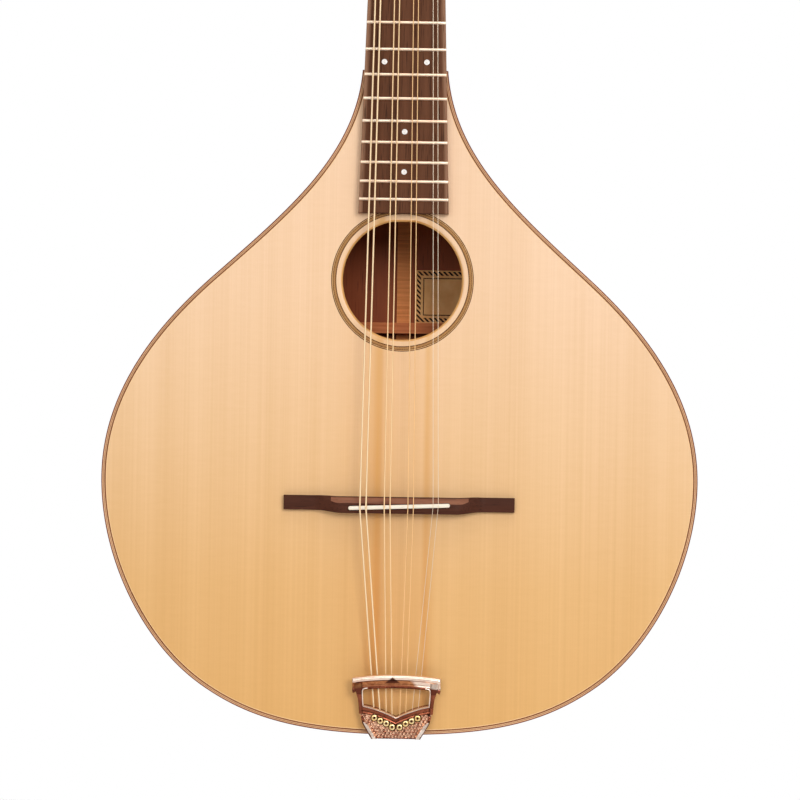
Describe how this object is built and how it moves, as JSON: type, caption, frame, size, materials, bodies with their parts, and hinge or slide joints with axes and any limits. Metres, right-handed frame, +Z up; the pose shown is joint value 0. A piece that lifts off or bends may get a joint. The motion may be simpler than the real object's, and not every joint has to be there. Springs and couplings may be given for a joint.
{
  "type": "mandolin",
  "caption": "Flat-top octave mandolin with a wide teardrop body, round sound hole, floating bridge, cast tailpiece and strings in pairs tuned by worm-geared posts.",
  "frame": {"origin": "On the centre line at the front edge of the nut, in the plane of the soundboard's face. A hanger's yoke holds the instrument under its head here.", "axes": "+Z up the neck towards the head, +Y towards the back of the body, +X towards the treble strings"},
  "size_m": [0.3736, 0.0936, 0.8484],
  "materials": {
    "spruce_top": "satin lacquered spruce, vertical grain",
    "rosette_wood": "inlaid wood lines under satin lacquer",
    "mahogany": "satin lacquered mahogany",
    "binding_wood": "satin lacquered wood binding",
    "brace_spruce": "bare planed spruce",
    "label_paper": "matt aged paper",
    "rosewood": "oiled open-grained rosewood",
    "bone": "polished bone",
    "cast_bronze": "antiqued cast bronze, polished edges",
    "rod_steel": "plain steel",
    "tuner_brass": "satin brass",
    "wound_bronze": "bronze-wound wire",
    "plain_steel": "plain drawn steel wire",
    "button_ebony": "polished ebony",
    "ebony": "satin ebony"
  },
  "bodies": {
    "mandolin": {"soundboard": "spruce_top", "rosette": "rosette_wood", "back": "mahogany", "front_binding": "binding_wood", "back_binding": "binding_wood", "bass_rib": "mahogany", "front_lining_bass": "brace_spruce", "back_lining_bass": "brace_spruce", "tone_bar_bass": "brace_spruce", "treble_rib": "mahogany", "front_lining_treble": "brace_spruce", "back_lining_treble": "brace_spruce", "tone_bar_treble": "brace_spruce", "neck_block": "mahogany", "tail_block": "mahogany", "upper_top_brace": "brace_spruce", "lower_top_brace": "brace_spruce", "back_brace_1": "mahogany", "back_brace_2": "mahogany", "back_brace_3": "mahogany", "back_centre_strip": "binding_wood", "label": "label_paper", "neck": "mahogany", "heel_cap": "rosewood", "fingerboard": "rosewood", "nut": "bone", "truss_rod": "rod_steel", "head_veneer": "rosewood", "truss_rod_cover": "ebony", "bridge": "rosewood", "saddle": "bone", "tailpiece": "cast_bronze", "tailpiece_screw_bass": "cast_bronze", "tuner_strip_bass": "tuner_brass", "tailpiece_screw_treble": "cast_bronze", "tuner_strip_treble": "tuner_brass", "string_1": "wound_bronze", "string_2": "wound_bronze", "string_3": "wound_bronze", "string_4": "wound_bronze", "string_5": "wound_bronze", "string_6": "wound_bronze", "string_7": "plain_steel", "string_8": "plain_steel"},
    "button_bass_1": {"button_bass_1": "button_ebony"},
    "post_bass_1": {"post_bass_1": "tuner_brass"},
    "button_bass_2": {"button_bass_2": "button_ebony"},
    "post_bass_2": {"post_bass_2": "tuner_brass"},
    "button_bass_3": {"button_bass_3": "button_ebony"},
    "post_bass_3": {"post_bass_3": "tuner_brass"},
    "button_bass_4": {"button_bass_4": "button_ebony"},
    "post_bass_4": {"post_bass_4": "tuner_brass"},
    "button_treble_1": {"button_treble_1": "button_ebony"},
    "post_treble_1": {"post_treble_1": "tuner_brass"},
    "button_treble_2": {"button_treble_2": "button_ebony"},
    "post_treble_2": {"post_treble_2": "tuner_brass"},
    "button_treble_3": {"button_treble_3": "button_ebony"},
    "post_treble_3": {"post_treble_3": "tuner_brass"},
    "button_treble_4": {"button_treble_4": "button_ebony"},
    "post_treble_4": {"post_treble_4": "tuner_brass"}
  },
  "joints": [
    {"name": "button_bass_1_turn", "type": "hinge", "parent": "mandolin", "child": "button_bass_1", "pos_m": [-0.022, 0.0277, 0.03573], "axis": [1, 0, 0], "continuous": true},
    {"name": "post_bass_1_turn", "type": "hinge", "parent": "mandolin", "child": "post_bass_1", "pos_m": [-0.022, 0.0099, 0.04887], "axis": [0, 0.9744, -0.225], "continuous": true},
    {"name": "button_bass_2_turn", "type": "hinge", "parent": "mandolin", "child": "button_bass_2", "pos_m": [-0.022, 0.03355, 0.06107], "axis": [1, 0, 0], "continuous": true},
    {"name": "post_bass_2_turn", "type": "hinge", "parent": "mandolin", "child": "post_bass_2", "pos_m": [-0.022, 0.01575, 0.07421], "axis": [0, 0.9744, -0.225], "continuous": true},
    {"name": "button_bass_3_turn", "type": "hinge", "parent": "mandolin", "child": "button_bass_3", "pos_m": [-0.022, 0.03939, 0.0864], "axis": [1, 0, 0], "continuous": true},
    {"name": "post_bass_3_turn", "type": "hinge", "parent": "mandolin", "child": "post_bass_3", "pos_m": [-0.022, 0.02159, 0.09954], "axis": [0, 0.9744, -0.225], "continuous": true},
    {"name": "button_bass_4_turn", "type": "hinge", "parent": "mandolin", "child": "button_bass_4", "pos_m": [-0.022, 0.04524, 0.11173], "axis": [1, 0, 0], "continuous": true},
    {"name": "post_bass_4_turn", "type": "hinge", "parent": "mandolin", "child": "post_bass_4", "pos_m": [-0.022, 0.02744, 0.12487], "axis": [0, 0.9744, -0.225], "continuous": true},
    {"name": "button_treble_1_turn", "type": "hinge", "parent": "mandolin", "child": "button_treble_1", "pos_m": [0.022, 0.0277, 0.03573], "axis": [1, 0, 0], "continuous": true},
    {"name": "post_treble_1_turn", "type": "hinge", "parent": "mandolin", "child": "post_treble_1", "pos_m": [0.022, 0.0099, 0.04887], "axis": [0, 0.9744, -0.225], "continuous": true},
    {"name": "button_treble_2_turn", "type": "hinge", "parent": "mandolin", "child": "button_treble_2", "pos_m": [0.022, 0.03355, 0.06107], "axis": [1, 0, 0], "continuous": true},
    {"name": "post_treble_2_turn", "type": "hinge", "parent": "mandolin", "child": "post_treble_2", "pos_m": [0.022, 0.01575, 0.07421], "axis": [0, 0.9744, -0.225], "continuous": true},
    {"name": "button_treble_3_turn", "type": "hinge", "parent": "mandolin", "child": "button_treble_3", "pos_m": [0.022, 0.03939, 0.0864], "axis": [1, 0, 0], "continuous": true},
    {"name": "post_treble_3_turn", "type": "hinge", "parent": "mandolin", "child": "post_treble_3", "pos_m": [0.022, 0.02159, 0.09954], "axis": [0, 0.9744, -0.225], "continuous": true},
    {"name": "button_treble_4_turn", "type": "hinge", "parent": "mandolin", "child": "button_treble_4", "pos_m": [0.022, 0.04524, 0.11173], "axis": [1, 0, 0], "continuous": true},
    {"name": "post_treble_4_turn", "type": "hinge", "parent": "mandolin", "child": "post_treble_4", "pos_m": [0.022, 0.02744, 0.12487], "axis": [0, 0.9744, -0.225], "continuous": true}
  ],
  "couplings": [
    {"joint": "post_bass_1_turn", "follows": "button_bass_1_turn", "ratio": 0.071429},
    {"joint": "post_bass_2_turn", "follows": "button_bass_2_turn", "ratio": 0.071429},
    {"joint": "post_bass_3_turn", "follows": "button_bass_3_turn", "ratio": 0.071429},
    {"joint": "post_bass_4_turn", "follows": "button_bass_4_turn", "ratio": 0.071429},
    {"joint": "post_treble_1_turn", "follows": "button_treble_1_turn", "ratio": 0.071429},
    {"joint": "post_treble_2_turn", "follows": "button_treble_2_turn", "ratio": 0.071429},
    {"joint": "post_treble_3_turn", "follows": "button_treble_3_turn", "ratio": 0.071429},
    {"joint": "post_treble_4_turn", "follows": "button_treble_4_turn", "ratio": 0.071429}
  ]
}
